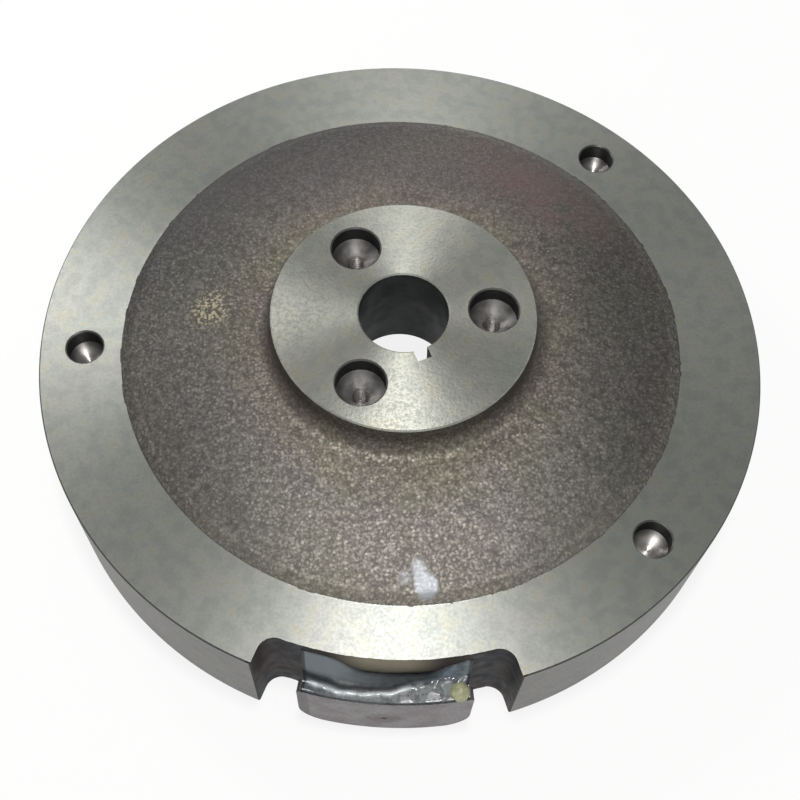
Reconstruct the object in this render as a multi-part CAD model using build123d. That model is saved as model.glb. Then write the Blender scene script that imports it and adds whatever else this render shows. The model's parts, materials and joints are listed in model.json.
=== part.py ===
from build123d import *
from math import asin, cos, radians, sin, tan
import os

# Magneto flywheel for a small engine, in millimetres.
# The origin is on the crank axis, in the plane of the rim's engine side, which it rests on.
# +Z points out of the fan side, and +X passes through one of the hub's screw sockets.

# Rim
rim_d = 200.0
rim_height = 35.0
fan_seat_width = 22.5
rim_mouth_wall = 20.0
rim_root_wall = 22.2
bell_root_bevel = 8.0
rim_edge_break = 0.4

# Web, dished towards the fan side and left as cast
web_step_width = 2.5
web_step_rise = 1.7
web_hub_rise = 5.6
web_thickness = 9.2
web_hub_cove = 4.4
web_boss_bevel = 5.0

# Hub
hub_d = 72.0
hub_rise = 14.0
hub_length = 36.0
hub_draft = 0.4
boss_d = 62.0
boss_root_d = 67.0
hub_edge_break = 0.6

# Tapered crank bore, one part in eight on the diameter, small end at the fan side
bore_small_d = 24.5
bore_taper = 1 / 8
bore_small_break = 0.3
bore_large_break = 0.9
keyway_width = 4.0
keyway_reach = 15.5
keyway_lead_angle = 23.5

# Three screw sockets in the hub face
socket_count = 3
socket_circle_d = 49.0
socket_d = 13.5
socket_depth = 5.0
socket_core_d = 5.0
socket_core_depth = 14.0
drill_point_angle = 118.0
hole_edge_break = 0.4

# Three peg holes in the fan seat, set so that the fan fits one way only
peg_hole_inset = 12.25
peg_hole_d = 10.0
peg_hole_depth = 5.5
peg_pair_half_angle = 45.0

# Balance drillings in the engine side of the rim, opposite the magnet
balance_count = 3
balance_hole_inset = 10.0
balance_hole_d = 14.0
balance_hole_depth = 21.0
balance_pitch_angle = 14.0

# Magnet notch, cut through the rim
magnet_angle = -95.0
notch_half_angle = 19.55
notch_depth = 8.5
notch_corner_radius = 4.5
notch_mouth_radius = 0.5

# Magnet group in the notch
shoe_thickness = 3.2
shoe_width = 45.8
shoe_bottom = 0.5
shoe_height = 24.0
shoe_lower_radius = 7.5
shoe_upper_radius = 1.2
magnet_width = 38.0
magnet_height = 17.0
magnet_bottom = 2.5
bond_gap = 0.1
potting_back_width = 43.6
potting_front_width = 41.8
potting_bottom = 1.0
potting_back_end_rise = 6.5
potting_front_end_rise = 1.5
potting_front_middle_drop = 0.3
magnet_cover = 2.8
screw_shank_d = 5.0
screw_head_d = 9.2
screw_head_angle = 90.0
screw_gap = 0.05
screw_thread_depth = 9.0
screw_punch_d = 1.6
screw_punch_depth = 0.7
bead_d = 5.0
bead_height = 3.2
bead_bevel = 1.3
bead_angle = 10.8
bead_inset = 2.6

# Sizes that follow from the ones above
rim_r = rim_d / 2
fan_seat_inner_r = rim_r - fan_seat_width
bell_mouth_r = rim_r - rim_mouth_wall
bell_root_r = rim_r - rim_root_wall
peg_circle_r = rim_r - peg_hole_inset
balance_circle_r = rim_r - balance_hole_inset
hub_r = hub_d / 2
hub_face_height = rim_height + hub_rise
hub_end_height = hub_face_height - hub_length
web_edge_r = fan_seat_inner_r - web_step_width
web_edge_height = rim_height + web_step_rise
web_hub_height = rim_height + web_hub_rise
bell_root_height = web_edge_height - web_thickness
boss_root_height = web_hub_height - web_thickness
bore_small_r = bore_small_d / 2
bore_large_r = bore_small_r + hub_length * bore_taper / 2
notch_r = rim_r - notch_depth
shoe_inner_r = rim_r - shoe_thickness
magnet_inner_r = notch_r + bond_gap
magnet_outer_r = shoe_inner_r - bond_gap
screw_height = magnet_bottom + magnet_height / 2
shoe_top = shoe_bottom + shoe_height
magnet_top = magnet_bottom + magnet_height
cut_margin = 2.0


def outline_of(corners):
    """Flat face inside a closed outline of (radius, height) corners."""
    return make_face(Polyline(corners, close=True))


def corner_of(outline, corner):
    """Vertex of an outline at one of its corners."""
    return outline.vertices().sort_by_distance(corner)[0]


def turned(outline):
    """Solid turned about Z from an outline in radius and height."""
    return revolve(Plane.XZ * outline, Axis.Z)


def drilled(diameter, depth, mouth_height, edge_break):
    """Drill that cuts down from mouth_height to a full-diameter depth, ending in its point."""
    radius = diameter / 2
    point = radius / tan(radians(drill_point_angle / 2))
    flare = edge_break + cut_margin
    corners = [
        (0, mouth_height + cut_margin),
        (0, mouth_height - depth - point),
        (radius, mouth_height - depth),
        (radius, mouth_height - edge_break),
        (radius + flare, mouth_height + cut_margin),
    ]
    return turned(outline_of(corners))


def at_polar(solid, distance, angle):
    """Copy of a solid, moved out from the axis along +X and then turned to an angle."""
    return Rot(0, 0, angle) * Pos(distance, 0, 0) * solid


def sector(inner_r, outer_r, half_angle, bottom, top):
    """Block of a ring, centred on +X."""
    inner_arc = CenterArc((0, 0), inner_r, -half_angle, 2 * half_angle)
    outer_arc = CenterArc((0, 0), outer_r, -half_angle, 2 * half_angle)
    lower_side = Line(inner_arc @ 0, outer_arc @ 0)
    upper_side = Line(inner_arc @ 1, outer_arc @ 1)
    plan = make_face([inner_arc, upper_side, outer_arc, lower_side])
    return Pos(0, 0, bottom) * extrude(plan, top - bottom)


def ring(inner_r, outer_r, bottom, top):
    """Plain ring about Z."""
    plan = Circle(outer_r) - Circle(inner_r)
    return Pos(0, 0, bottom) * extrude(plan, top - bottom)


def radial_plane(distance, height):
    """Plane across the +X axis, with its own x along +Y and its own y along +Z."""
    return Plane(origin=(distance, 0, height), x_dir=(0, 1, 0), z_dir=(1, 0, 0))


def cove(before, corner, after):
    """Curve that rounds the corner between two points, tangent to both of its sides."""
    start = Vector(corner) + (Vector(before) - Vector(corner)).normalized() * web_hub_cove
    end = Vector(corner) + (Vector(after) - Vector(corner)).normalized() * web_hub_cove
    return Bezier(start, corner, end)


def casting_blank():
    """Rim, web and hub as one turned form, before any hole is cut."""
    web_edge = (web_edge_r, web_edge_height)
    hub_root = (hub_r + hub_draft, web_hub_height)
    hub_top = (hub_r, hub_face_height - hub_edge_break)
    boss_root = (boss_root_d / 2, boss_root_height)
    bell_root = (bell_root_r, bell_root_height)
    hub_cove = cove(web_edge, hub_root, hub_top)
    corners = [
        hub_cove @ 1,
        hub_top,
        (hub_r - hub_edge_break, hub_face_height),
        (0, hub_face_height),
        (0, hub_end_height),
        (boss_d / 2, hub_end_height),
        boss_root,
        bell_root,
        (bell_mouth_r, 0),
        (rim_r - rim_edge_break, 0),
        (rim_r, rim_edge_break),
        (rim_r, rim_height - rim_edge_break),
        (rim_r - rim_edge_break, rim_height),
        (fan_seat_inner_r, rim_height),
        web_edge,
        hub_cove @ 0,
    ]
    outline = make_face([Polyline(corners), hub_cove])
    outline = chamfer(corner_of(outline, boss_root), web_boss_bevel)
    outline = chamfer(corner_of(outline, bell_root), bell_root_bevel)
    return turned(outline)


def crank_bore():
    """Tapered bore with both edges broken, and a keyway parallel to the axis."""
    taper_slope = bore_taper / 2
    beyond = cut_margin
    small_break_r = bore_small_r + bore_small_break
    large_break_r = bore_large_r + bore_large_break
    corners = [
        (0, hub_end_height - beyond),
        (large_break_r + beyond, hub_end_height - beyond),
        (large_break_r, hub_end_height),
        (bore_large_r - bore_large_break * taper_slope, hub_end_height + bore_large_break),
        (bore_small_r + bore_small_break * taper_slope, hub_face_height - bore_small_break),
        (small_break_r, hub_face_height),
        (small_break_r + beyond, hub_face_height + beyond),
        (0, hub_face_height + beyond),
    ]
    taper = turned(outline_of(corners))
    slot_length = hub_length + 2 * beyond
    slot = Pos(keyway_reach / 2, 0, hub_end_height + hub_length / 2) * Box(
        keyway_reach, keyway_width, slot_length
    )
    return taper + Rot(0, 0, magnet_angle + keyway_lead_angle) * slot


def hub_socket():
    """Flat-walled socket with a coned floor and a tapping core in the middle."""
    socket = drilled(socket_d, socket_depth, hub_face_height, hole_edge_break)
    core = drilled(socket_core_d, socket_core_depth, hub_face_height - socket_depth, 0)
    return socket + core


def notch():
    """Opening in the rim for the magnet group, with round inner corners."""
    outer_r = rim_r + cut_margin
    block = sector(notch_r, outer_r, notch_half_angle, -cut_margin, rim_height + cut_margin)
    inner_edges = block.edges().filter_by(Axis.Z).sort_by_distance((0, 0, rim_height / 2))[:2]
    return fillet(inner_edges, notch_corner_radius)


def screw_hole(diameter):
    """Straight hole for the shoe screw, from outside the rim to the end of its thread."""
    depth = notch_depth + screw_thread_depth + cut_margin
    hole = extrude(Circle(diameter / 2), -depth)
    return radial_plane(rim_r + cut_margin, screw_height).location * hole


def make_casting():
    """The turned form with its bore, sockets, peg holes, balance drillings, notch and screw hole."""
    casting = casting_blank() - crank_bore()
    for index in range(socket_count):
        casting -= at_polar(hub_socket(), socket_circle_d / 2, index * 360 / socket_count)
    peg_hole = drilled(peg_hole_d, peg_hole_depth, rim_height, hole_edge_break)
    for angle in (-peg_pair_half_angle, peg_pair_half_angle, 180):
        casting -= at_polar(peg_hole, peg_circle_r, angle)
    balance_hole = Rot(180, 0, 0) * drilled(balance_hole_d, balance_hole_depth, 0, 0)
    for index in range(balance_count):
        step = index - (balance_count - 1) / 2
        angle = magnet_angle + 180 + step * balance_pitch_angle
        casting -= at_polar(balance_hole, balance_circle_r, angle)
    casting -= Rot(0, 0, magnet_angle) * notch()
    mouth_edges = []
    for side in (-1, 1):
        angle = radians(magnet_angle + side * notch_half_angle)
        mouth = (rim_r * cos(angle), rim_r * sin(angle), rim_height / 2)
        mouth_edges.append(casting.edges().filter_by(Axis.Z).sort_by_distance(mouth)[0])
    casting = fillet(mouth_edges, notch_mouth_radius)
    casting -= Rot(0, 0, magnet_angle) * screw_hole(screw_shank_d + 2 * screw_gap)
    return casting


def shoe_screw_form(gap):
    """Countersunk screw along +X, grown by a gap, with its head running on past the rim."""
    shank_r = screw_shank_d / 2 + gap
    head_r = screw_head_d / 2 + gap
    slope = tan(radians(screw_head_angle / 2))
    head_depth = (head_r - shank_r) / slope
    thread_end = notch_r - screw_thread_depth
    corners = [
        (0, thread_end),
        (shank_r, thread_end),
        (shank_r, rim_r - head_depth),
        (head_r + cut_margin * slope, rim_r + cut_margin),
        (0, rim_r + cut_margin),
    ]
    upright = turned(outline_of(corners))
    return Pos(0, 0, screw_height) * Rot(0, 90, 0) * upright


def plate_outline():
    """Outline of the shoe, seen from outside the rim, with its bottom on y = 0."""
    half = shoe_width / 2
    outline = Pos(0, shoe_height / 2) * Rectangle(shoe_width, shoe_height)
    lower = outline.vertices().sort_by(Axis.Y)[:2]
    outline = fillet(lower, shoe_lower_radius)
    upper = [outline.vertices().sort_by_distance((side * half, shoe_height))[0] for side in (-1, 1)]
    return fillet(upper, shoe_upper_radius)


def make_pole_shoe():
    """Curved plate cut from the ring of the rim, with a countersunk screw hole."""
    prism = radial_plane(0, shoe_bottom).location * extrude(plate_outline(), rim_r + cut_margin)
    plate = prism & ring(shoe_inner_r, rim_r, 0, rim_height)
    plate -= shoe_screw_form(screw_gap)
    return Rot(0, 0, magnet_angle) * plate


def magnet_block():
    """Straight-sided block that the curved magnet is cut from, reaching in to the axis."""
    return Pos(rim_r / 2, 0, screw_height) * Box(rim_r, magnet_width, magnet_height)


def make_magnet():
    """Curved block, with a clear hole for the screw."""
    magnet = magnet_block() & ring(magnet_inner_r, magnet_outer_r, 0, rim_height)
    magnet -= screw_hole(screw_shank_d + 2 * bond_gap)
    return Rot(0, 0, magnet_angle) * magnet


def potting_section(width, end_height, middle_height):
    """Cross-section of the potting across the notch, with its top sagging in the middle."""
    half = width / 2
    outline = [
        Line((-half, potting_bottom), (half, potting_bottom)),
        Line((half, potting_bottom), (half, end_height)),
        ThreePointArc((half, end_height), (0, middle_height), (-half, end_height)),
        Line((-half, end_height), (-half, potting_bottom)),
    ]
    return make_face(outline)


def make_potting(bead):
    """Block that fills the notch round the magnet, and whose top runs down to the shoe."""
    back_distance = notch_r * cos(asin(potting_back_width / 2 / notch_r)) - cut_margin
    back = potting_section(potting_back_width, shoe_top + potting_back_end_rise, magnet_top + magnet_cover)
    front_middle_height = shoe_top - potting_front_middle_drop
    front = potting_section(potting_front_width, shoe_top + potting_front_end_rise, front_middle_height)
    back_face = radial_plane(back_distance, 0).location * back
    front_face = radial_plane(shoe_inner_r, 0).location * front
    block = loft([back_face, front_face], ruled=True)
    block &= ring(notch_r, shoe_inner_r, 0, rim_height)
    block -= magnet_block()
    return Rot(0, 0, magnet_angle) * block - bead


def make_screw():
    """Screw whose head is turned with the rim and has a punch mark in its middle."""
    rim_disc = Pos(0, 0, rim_height / 2) * Cylinder(rim_r, rim_height)
    form = shoe_screw_form(0) & rim_disc
    punch = Pos(rim_r, 0, screw_height) * Rot(0, -90, 0) * Cone(
        screw_punch_d / 2, 0, screw_punch_depth, align=(Align.CENTER, Align.CENTER, Align.MIN)
    )
    return Rot(0, 0, magnet_angle) * (form - punch)


def make_bead():
    """Round bead with a bevelled top, bedded on the top edge of the shoe."""
    bead = extrude(Circle(bead_d / 2), bead_height)
    top_edge = bead.edges().sort_by(Axis.Z)[-1]
    bead = chamfer(top_edge, bead_bevel)
    return Rot(0, 0, magnet_angle + bead_angle) * Pos(rim_r - bead_inset, 0, shoe_top) * bead


bead = make_bead()
nodes = {
    "flywheel_casting": make_casting(),
    "pole_shoe": make_pole_shoe(),
    "ignition_magnet": make_magnet(),
    "magnet_potting": make_potting(bead),
    "shoe_screw": make_screw(),
    "marker_bead": bead,
}

os.makedirs("parts", exist_ok=True)
for name, solid in nodes.items():
    export_step(solid, "parts/" + name + ".step")
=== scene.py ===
"""Finishes a magneto flywheel: turned iron, sand-cast web, and a potted ignition magnet in its notch."""

import json
import math

import bmesh
import bpy
from bpy.props import FloatProperty, FloatVectorProperty, IntProperty, PointerProperty
from mathutils import Matrix, Vector, noise


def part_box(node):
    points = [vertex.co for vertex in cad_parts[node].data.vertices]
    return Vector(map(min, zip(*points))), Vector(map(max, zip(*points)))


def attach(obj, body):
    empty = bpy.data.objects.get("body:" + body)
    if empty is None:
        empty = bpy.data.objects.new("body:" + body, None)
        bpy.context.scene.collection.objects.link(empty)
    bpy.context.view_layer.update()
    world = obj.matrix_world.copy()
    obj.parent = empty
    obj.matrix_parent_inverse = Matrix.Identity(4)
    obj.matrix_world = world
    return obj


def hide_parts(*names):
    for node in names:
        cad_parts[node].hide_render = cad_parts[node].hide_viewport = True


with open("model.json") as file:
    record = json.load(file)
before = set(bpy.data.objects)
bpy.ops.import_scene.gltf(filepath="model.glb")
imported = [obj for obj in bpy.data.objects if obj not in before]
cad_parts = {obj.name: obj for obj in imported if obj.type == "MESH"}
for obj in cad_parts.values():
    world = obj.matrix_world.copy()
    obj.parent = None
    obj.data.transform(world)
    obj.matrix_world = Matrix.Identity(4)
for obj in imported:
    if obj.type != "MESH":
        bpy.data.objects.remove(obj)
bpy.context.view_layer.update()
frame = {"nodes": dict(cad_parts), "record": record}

bl_info = {
    "name": "Magneto Flywheel",
    "version": (1, 0, 0),
    "blender": (4, 5, 0),
    "location": "View3D > Sidebar > Flywheel",
    "description": "Builds the finish of a magneto flywheel round its packed model",
    "category": "Object",
}

MM = 0.001
BODY = "root"

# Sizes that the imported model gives
CASTING_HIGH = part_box("flywheel_casting")[1]
MOUNTS = {mount["name"]: mount for mount in frame["record"]["mounts"]}
RIM_R = CASTING_HIGH.x
HUB_FACE = CASTING_HIGH.z
RIM_FACE = MOUNTS["fan_seat"]["pos_m"][2]
HUB_END = MOUNTS["crank_taper"]["pos_m"][2]
SHOE_BOTTOM, SHOE_TOP = (corner.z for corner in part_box("pole_shoe"))
SCREW_HEIGHT = sum(corner.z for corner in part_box("shoe_screw")) / 2
SOCKETS = MOUNTS["starter_cup_sockets"]["dims"]
SOCKET_R = SOCKETS["hole_r_mm"] * MM
CORE_R = MOUNTS["starter_cup_threads"]["dims"]["hole_r_mm"] * MM
PEG_R = MOUNTS["fan_peg_single"]["dims"]["r_mm"] * MM
PEG_CIRCLE_R = -MOUNTS["fan_peg_single"]["pos_m"][0]

# Places round the rim, in degrees about the crank axis
MAGNET_ANGLE = -95.0
KEYWAY_ANGLE = -71.5
PEG_ANGLES = (-45.0, 45.0, 180.0)
BALANCE_ANGLES = (71.0, 85.0, 99.0)

# The turned casting
RIM_BREAK = 0.4 * MM
FINE_BREAK = 0.4 * MM
BORE_R = 12.25 * MM
BORE_TAPER = 1 / 16
KEYWAY_WIDTH = 4.0 * MM
KEYWAY_REACH = 15.5 * MM
SEAT_INNER_R = 77.5 * MM
SEAT_SLOPE_R = 75.0 * MM
SEAT_SLOPE_RISE = 1.7 * MM
FACING_START = 1.6 * MM
FACING_END = 0.7 * MM
FACING_DEPTH = 0.3 * MM
FACING_REACH = 1.8 * MM
FACING_ABOVE = 1.2 * MM
HUB_R = 36.0 * MM
HUB_TURNED_EDGE = 1.0 * MM
HUB_ROOT_R = 36.4 * MM
HUB_ROOT_RISE = 5.6 * MM
HUB_COVE = 4.4 * MM
BOSS_R = 31.0 * MM
BOSS_ROOT_R = 33.5 * MM
BOSS_COVE = 7.5 * MM
BELL_ROOT_R = 77.8 * MM
BELL_MOUTH_R = 80.0 * MM
BELL_COVE = 12.0 * MM
WEB_THICKNESS = 9.2 * MM
WEB_CROWN = 1.1 * MM
WEB_STEP = 0.75 * MM
SKIRT_STEP = 0.3 * MM
UNDER_STEP = 2.4 * MM
MERGE_DISTANCE = 0.002 * MM
SHARP_ANGLE = 32.0

# Its holes
SOCKET_DEPTH = 5.0 * MM
SOCKET_FOOT_RISE = 0.5 * MM
SOCKET_FOOT_INSET = 0.15 * MM
CORE_DEPTH = 14.0 * MM
CORE_LEAD = 0.2 * MM
PEG_DEPTH = 5.5 * MM
BALANCE_R = 7.0 * MM
BALANCE_DEPTH = 21.0 * MM
BALANCE_CIRCLE_R = 90.0 * MM
POINT_SLOPE = 1 / math.tan(math.radians(59.0))
CUT_MARGIN = 2.0 * MM
TOUCH = 0.01 * MM
THREAD_PITCH = 1.0 * MM
THREAD_DEPTH = 0.8 * MM
THREAD_LENGTH = 9.0 * MM
DRILL_FACETS = 56
BALANCE_FACETS = 48

# The notch for the magnet
NOTCH_HALF_ANGLE = 19.55
NOTCH_R = RIM_R - 8.5 * MM
NOTCH_CORNER = 4.5 * MM
NOTCH_MOUTH = 0.5 * MM
NOTCH_ROUGHNESS = 0.13 * MM
NOTCH_GRAIN = 1.6 * MM
NOTCH_SWELL = 6.0 * MM
NOTCH_CUT_R = RIM_R + 12 * MM
NOTCH_BACK_STEPS = 34
NOTCH_CORNER_STEPS = 8
NOTCH_SIDE_STEPS = 3
NOTCH_MOUTH_STEPS = 6
NOTCH_ROWS = 38

# The shoe and its screw
SHOE_INNER_R = RIM_R - 3.2 * MM
SHOE_HALF = 22.9 * MM
SHOE_LOWER_R = 7.5 * MM
SHOE_UPPER_R = 1.2 * MM
SHOE_COLUMNS = 92
SHOE_ROWS = 12
SCREW_HEAD_R = 4.6 * MM
SCREW_SHANK_R = 2.5 * MM
SCREW_END_R = 82.5 * MM
SCREW_GAP = 0.05 * MM
SCREW_FACE_BAND = 0.25 * MM
SCREW_FACETS = 72
PUNCH_R = 0.8 * MM
PUNCH_DEPTH = 0.7 * MM

# The compound
POTTING_BACK_HALF = 21.8 * MM
POTTING_FRONT_HALF = 20.9 * MM
POTTING_LIP_R = RIM_R - 0.03 * MM
LIP_BEDDING = 0.02 * MM
LIP_THICKNESS = 0.35 * MM
LIP_TAPER = (-0.6 * MM, 0.15 * MM)
POTTING_BOTTOM = 1.0 * MM
POTTING_COLUMNS = 190
POTTING_ROWS = 22
POTTING_LIP_ROWS = 15
# Across its top, by share of the way from its middle to an end: the crest's radius and the height of the
# valley behind it, in millimetres, and how steeply the apron in front of it falls
CREST_STOPS = (
    (-1.0, 97.3), (-0.76, 97.7), (-0.53, 98.4), (-0.31, 98.0), (0.02, 97.5), (0.26, 96.2), (0.6, 95.4),
)
VALLEY_STOPS = ((-1.0, 25.2), (-0.4, 24.9), (0.0, 24.5), (0.4, 25.4), (1.0, 26.0))
APRON_STOPS = ((-1.0, 0.8), (-0.5, 0.7), (-0.25, 0.34), (0.3, 0.3), (1.0, 0.3))

# Height of its back and how far that climbs at its left and right ends, in millimetres
BACK_HEIGHT, LEFT_CLIMB, RIGHT_CLIMB = 22.4, 8.6, 7.4
VALLEY_REACH = 1.4 * MM
FLANK_REACH = 0.8 * MM
SAG_STEPS = (-0.3, -0.15, 0.0, 0.15, 0.3)

# The bead
BEAD_ANGLE = 11.0
BEAD_R = 2.55 * MM
BEAD_HEIGHT = 2.75 * MM
BEAD_INSET = 2.3 * MM

# Marks on the web: centre, half length and half width in metres, turn in degrees, strength
RUST_PATCHES = (
    ((0.041, 0.047), 33 * MM, 14 * MM, -42.0, 0.36),
)
CHALK_PATCHES = (
    ((0.0025, -0.0733), 4.3 * MM, 4.6 * MM, 10.0, 1.0),
    ((0.0010, -0.0697), 3.0 * MM, 5.0 * MM, 12.0, 0.6),
    ((-0.0028, -0.0710), 3.2 * MM, 3.2 * MM, 0.0, 0.35),
)
# Middle of the painted glints on the web
GLINT_CENTRE = (-0.0528, 0.0085)
# Middle of the painted light on the notch's back wall
PAINTED_LIGHT_CENTRE = (-0.0080, -0.0911)

# Radii between which the painted light on the compound's ledge, its dusty front and its filmed strip come in
COMPOUND_LEDGE = (95.8 * MM, 94.2 * MM)
COMPOUND_FRONT = (93.2 * MM, 96.0 * MM)
COMPOUND_STRIP = (94.9 * MM, 95.7 * MM)

# Colours of small marks, and of painted shade, painted light and painted highlights
FRESH_METAL = (0.72, 0.68, 0.66)
HOLE_SHADE = (0.034, 0.038, 0.038)
BORE_SHADE_OLD_OIL = (0.003, 0.007, 0.0065)
BORE_SHADE_WET_OIL = (0.006, 0.011, 0.0105)
CHALK = (0.43, 0.45, 0.49)
GLINT = (0.32, 0.28, 0.18)
BLUED_SCALE = (0.020, 0.025, 0.031)
PAINTED_LIGHT_SCALE = (0.310, 0.272, 0.205)
SCREW_RUST = (0.075, 0.058, 0.046)
PAINTED_CREST_HIGHLIGHT = (0.82, 0.89, 0.94)
WHITE = (1.0, 1.0, 1.0, 1.0)
QUARTER_TURN = 0.25

# The stage
CAMERA_DISTANCE = 0.35031
CAMERA_ELEVATION = 59.141
CAMERA_AZIMUTH = -5.5
CAMERA_YAW = 0.057
CAMERA_PITCH = 2.799
CAMERA_ROLL = -3.266
FOCAL_PIXELS = 1252.86
FRAME_PIXELS = 800
SENSOR_WIDTH = 36.0
FLOOR_HALF = 4.0
FLOOR_DROP = 0.05 * MM
HORIZON_TOP = 0.17
CEILING_BOTTOM = 0.5
CEILING_STRENGTH = 0.27
SKY_COLOUR = (0.97, 1.0, 0.985, 1.0)
# Lamps: azimuth and elevation in degrees, distance and width in metres, power in watts, colour
LAMPS = (
    ("overhead_lamp", -76.6, 87.4, 0.934, 0.12, 5.3, (1.0, 0.985, 0.955)),
    ("window_lamp", 133.0, 45.0, 0.473, 0.12, 0.55, (1.0, 0.99, 0.95)),
    ("front_lamp", -88.0, 61.0, 0.345, 0.03, 0.04, (1.0, 1.0, 1.0)),
)


def length(name, description, default):
    """A length property."""
    return FloatProperty(
        name=name, description=description, default=default, unit="LENGTH", subtype="DISTANCE"
    )


def colour(name, description, default):
    """A colour property."""
    return FloatVectorProperty(name=name, description=description, default=default, size=3, subtype="COLOR")


class FlywheelSizes(bpy.types.PropertyGroup):
    """Sizes of the finish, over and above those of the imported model."""

    turning_segments: IntProperty(
        name="Turning segments", description="Facets round the turned form", default=640, min=96, max=1024
    )
    grain_height: length("Grain height", "Relief of the moulding sand", 0.11 * MM)
    grain_size: length("Grain size", "Width of one bump of the sand relief", 1.5 * MM)
    swell_height: length("Swell height", "Slow unevenness of the cast faces", 0.16 * MM)
    swell_size: length("Swell size", "Width of one slow swell", 9.0 * MM)
    edge_break: length("Edge break", "Bevel on the edges of the pole shoe", 0.3 * MM)
    ridge_height: length("Potting ridge", "Height of the ridge of compound along the shoe", 1.2 * MM)


class FlywheelColours(bpy.types.PropertyGroup):
    """Colours of the finishes."""

    turned: colour("Turned iron", "Machined faces of the rim and hub", (0.322, 0.328, 0.312))
    drilled: colour("Drilled iron", "Floors of the drilled holes", (0.24, 0.235, 0.235))
    cast: colour("Cast iron", "Sand-cast web", (0.086, 0.081, 0.074))
    cast_spark: colour("Cast grain", "Bright grains of the sand-cast web", (0.215, 0.203, 0.184))
    scale: colour("Casting scale", "Dark walls of the magnet notch", (0.031, 0.0255, 0.0238))
    hub: colour("Hub face", "Machined face of the hub", (0.408, 0.410, 0.376))
    rust: colour("Rust bloom", "Reddish bloom on the web", (0.175, 0.088, 0.086))
    compound: colour("Potting compound", "Glossy compound round the magnet", (0.088, 0.100, 0.112))
    compound_dust: colour("Dusty compound", "Dull grey smear on the compound", (0.27, 0.28, 0.29))
    shoe: colour("Shoe steel", "Turned face of the pole shoe", (0.235, 0.225, 0.225))
    bead: colour("Marker bead", "Cream compound bead", (0.44, 0.44, 0.265))
    ferrite: colour("Ferrite", "Ignition magnet", (0.045, 0.045, 0.048))
    floor: colour("Floor", "Pale floor", (0.90, 0.90, 0.90))


def sizes():
    """Sizes set in the panel."""
    return bpy.context.scene.flywheel_sizes


def colours():
    """Colours set in the panel."""
    return bpy.context.scene.flywheel_colours


# Nodes


def is_link(value):
    """Whether a value comes out of a node."""
    return isinstance(value, bpy.types.NodeSocket)


def fill(node, values):
    """Fills a node's inputs with constants or links."""
    for key, value in values.items():
        if is_link(value):
            node.id_data.links.new(value, node.inputs[key])
        else:
            node.inputs[key].default_value = value


def add_node(tree, kind, values=None, **settings):
    """Adds a node, sets its properties and fills its inputs."""
    node = tree.nodes.new(kind)
    for name, value in settings.items():
        setattr(node, name, value)
    fill(node, values or {})
    return node


def next_node(kind, values, **settings):
    """Adds a node to the tree that the links among its values are in."""
    tree = next(value.id_data for value in values.values() if is_link(value))
    return add_node(tree, kind, values, **settings)


def maths(operation, *terms, clamp=False):
    """Result of a Math node."""
    values = dict(enumerate(terms))
    return next_node("ShaderNodeMath", values, operation=operation, use_clamp=clamp).outputs[0]


def times(first, second):
    """Product of two values."""
    return maths("MULTIPLY", first, second)


def weighed(first, first_weight, second, second_weight):
    """Sum of two values, each times its weight."""
    return maths("ADD", times(first, first_weight), times(second, second_weight))


def vector_maths(operation, *terms):
    """Vector result of a Vector Math node."""
    return next_node("ShaderNodeVectorMath", dict(enumerate(terms)), operation=operation).outputs[0]


def vector_length(vector):
    """Length of a vector."""
    return next_node("ShaderNodeVectorMath", {0: vector}, operation="LENGTH").outputs["Value"]


def parts_of(vector):
    """X, Y and Z of a vector."""
    return next_node("ShaderNodeSeparateXYZ", {0: vector}).outputs


def vector_of(*parts):
    """Vector from its parts, with 0 for those left out."""
    return next_node("ShaderNodeCombineXYZ", dict(enumerate(parts))).outputs[0]


def from_axis(vector):
    """Distance of a place from the Z axis."""
    return vector_length(vector_maths("MULTIPLY", vector, (1.0, 1.0, 0.0)))


def spread(value, low, high, to_low=0.0, to_high=1.0):
    """Value moved from one range to another, smoothly, and held at the ends."""
    values = {"Value": value, "From Min": low, "From Max": high, "To Min": to_low, "To Max": to_high}
    return next_node("ShaderNodeMapRange", values, interpolation_type="SMOOTHSTEP").outputs["Result"]


def mix_colours(factor, first, second, blend="MIX"):
    """Mix of two colours, each a constant or a link, by a linked factor."""
    node = add_node(factor.id_data, "ShaderNodeMix", data_type="RGBA", blend_type=blend)
    sockets = {item.identifier: index for index, item in enumerate(node.inputs)}
    first, second = (shade if is_link(shade) else (*shade[:3], 1.0) for shade in (first, second))
    fill(node, {sockets["Factor_Float"]: factor, sockets["A_Color"]: first, sockets["B_Color"]: second})
    return next(item for item in node.outputs if item.identifier == "Result_Color")


def coats(skin, *layers):
    """Colour under a row of coats, each with how far it covers, its colour and, if not plain, its blend."""
    for cover, shade, *blend in layers:
        skin = mix_colours(cover, skin, shade, *blend)
    return skin


def noise_of(vector, size, detail=2.0, roughness=0.5):
    """Noise whose features are about a size across, from 0 to 1."""
    values = {"Vector": vector, "Scale": 1 / size, "Detail": detail, "Roughness": roughness}
    return next_node("ShaderNodeTexNoise", values).outputs["Fac"]


def attribute_of(tree, name, output="Fac"):
    """What a mesh attribute holds."""
    return add_node(tree, "ShaderNodeAttribute", attribute_name=name).outputs[output]


def patch(place, centre, half_length, half_width, turn):
    """Soft-edged oval patch round a place on the piece, from 0 outside to 1 at its middle."""
    oval = next_node("ShaderNodeMapping", {
        "Vector": place,
        "Location": (*centre, 0.0),
        "Rotation": (0.0, 0.0, math.radians(turn)),
        "Scale": (half_length, half_width, 1.0),
    }, vector_type="TEXTURE").outputs[0]
    return spread(from_axis(oval), 1.0, 0.25)


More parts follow.
